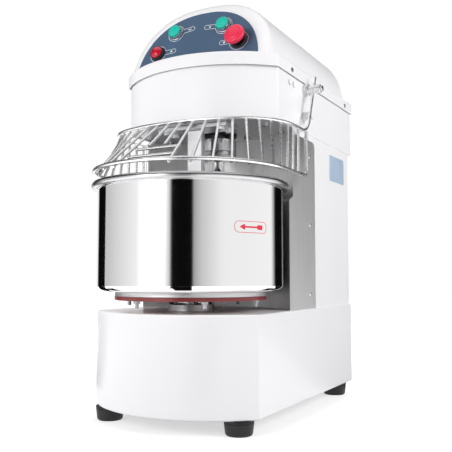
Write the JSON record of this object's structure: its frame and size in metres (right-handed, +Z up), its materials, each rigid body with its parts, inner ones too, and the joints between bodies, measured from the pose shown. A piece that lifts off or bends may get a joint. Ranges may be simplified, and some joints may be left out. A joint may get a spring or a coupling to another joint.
{
  "type": "commercial stand mixer",
  "caption": "Floor standing spiral dough mixer: sheet metal column and head over a turning steel bowl, spiral hook, breaker bar, hinged wire guard, sloped button panel.",
  "frame": {"origin": "on the floor, under the middle of the mixer's outer box", "axes": "+Z up, -Y to the front (bowl and control panel), +X to the mixer's left side as it faces the user"},
  "size_m": [0.422, 0.67, 0.833],
  "materials": {
    "white_paint": "gloss",
    "stainless_sheet": "satin",
    "polished_steel": "polished",
    "zinc_steel": "bright zinc",
    "shaft_steel": "ground",
    "black_rubber": "matte",
    "belt_rubber": "matte",
    "black_plastic": "matte",
    "black_steel": "blackened",
    "panel_film": "satin",
    "green_plastic": "gloss",
    "red_lamp": "gloss",
    "red_plastic": "gloss",
    "red_paint": "gloss",
    "cast_iron": "as cast",
    "dark_steel": "primed",
    "motor_grey": "cast, painted",
    "grey_box": "powder coat"
  },
  "bodies": {
    "root": {"base_housing": "white_paint", "base_plate": "dark_steel", "feet": "black_rubber", "foot_bolts": "zinc_steel", "cable_gland": "black_plastic", "column_housing": "white_paint", "column_front_cover": "stainless_sheet", "rear_cover": "white_paint", "panel_screws": "zinc_steel", "head_housing": "white_paint", "head_under_plate": "stainless_sheet", "under_plate_bolts": "zinc_steel", "top_cover": "white_paint", "lip_screws": "zinc_steel", "plug_caps": "white_paint", "control_panel": "panel_film", "button_bezels": "zinc_steel", "contact_blocks": "black_plastic", "power_lamp": "red_lamp", "pivot_bushes": "zinc_steel", "guard_stops": "white_paint", "safety_switch": "black_plastic", "spindle_hub": "stainless_sheet", "hub_screws": "black_steel", "spindle_bearings": "shaft_steel", "hook_housing": "cast_iron", "hook_bearings": "shaft_steel", "hook_seal": "black_rubber", "breaker_bar": "stainless_sheet", "breaker_bolts": "zinc_steel", "drive_plate": "dark_steel", "motor": "motor_grey", "motor_bolts": "zinc_steel", "countershaft_bearings": "cast_iron", "jackshaft_bearings": "cast_iron", "drive_belts": "belt_rubber", "electrics_box": "grey_box"},
    "guard": {"guard_frame": "stainless_sheet", "guard_bars": "stainless_sheet", "guard_pivots": "zinc_steel", "pivot_screws": "zinc_steel", "guard_cam": "black_steel"},
    "bowl_unit": {"bowl": "polished_steel", "bowl_foot_ring": "stainless_sheet", "bowl_carrier": "red_paint", "carrier_bolts": "zinc_steel", "bowl_spindle": "shaft_steel", "bowl_pulley": "cast_iron"},
    "hook_unit": {"spiral_hook": "polished_steel", "hook_bolts": "zinc_steel", "hook_spindle": "stainless_sheet", "hook_pulley": "cast_iron"},
    "countershaft_unit": {"countershaft": "shaft_steel", "countershaft_pulleys": "cast_iron"},
    "motor_rotor": {"motor_shaft": "shaft_steel"},
    "jackshaft_unit": {"jackshaft": "shaft_steel"},
    "start_cap": {"start_button": "green_plastic"},
    "jog_cap": {"jog_button": "green_plastic"},
    "stop_stem": {"stop_plunger": "black_plastic"},
    "stop_head": {"stop_mushroom": "red_plastic"}
  },
  "joints": [
    {"name": "guard_lift", "type": "hinge", "parent": "root", "child": "guard", "pos_m": [0, 0.029, 0.659], "axis": [-1, 0, 0], "range_deg": [0, 75]},
    {"name": "hook_spin", "type": "hinge", "parent": "root", "child": "hook_unit", "pos_m": [0, -0.033, 0.6], "axis": [0, 0, 1], "continuous": true},
    {"name": "bowl_spin", "type": "hinge", "parent": "root", "child": "bowl_unit", "pos_m": [0, -0.143, 0.2], "axis": [0, 0, 1], "continuous": true},
    {"name": "countershaft_spin", "type": "hinge", "parent": "root", "child": "countershaft_unit", "pos_m": [0, 0.095, 0.6], "axis": [0, 0, 1], "continuous": true},
    {"name": "motor_spin", "type": "hinge", "parent": "root", "child": "motor_rotor", "pos_m": [0, 0.229, 0.68], "axis": [0, 0, 1], "continuous": true},
    {"name": "jackshaft_spin", "type": "hinge", "parent": "root", "child": "jackshaft_unit", "pos_m": [-0.08, 0.007, 0.1], "axis": [0, 0, 1], "continuous": true},
    {"name": "start_press", "type": "slide", "parent": "root", "child": "start_cap", "axis": [0, 0.9563, -0.2924], "range_m": [0, 0.004], "stiffness_N_per_m": 250},
    {"name": "jog_press", "type": "slide", "parent": "root", "child": "jog_cap", "axis": [0, 0.9563, -0.2924], "range_m": [0, 0.004], "stiffness_N_per_m": 250},
    {"name": "stop_press", "type": "slide", "parent": "root", "child": "stop_stem", "axis": [0, 0.9563, -0.2924], "range_m": [0, 0.005], "stiffness_N_per_m": 500},
    {"name": "stop_twist", "type": "hinge", "parent": "stop_stem", "child": "stop_head", "pos_m": [0.0935, -0.11897, 0.73243], "axis": [0, -0.9563, 0.2924], "range_deg": [0, 45], "stiffness_Nm_per_rad": 0.05}
  ],
  "couplings": [
    {"joint": "bowl_spin", "follows": "hook_spin", "ratio": 0.10318},
    {"joint": "countershaft_spin", "follows": "hook_spin", "ratio": 2.1667},
    {"joint": "motor_spin", "follows": "hook_spin", "ratio": 6.5},
    {"joint": "jackshaft_spin", "follows": "hook_spin", "ratio": 0.61905}
  ]
}
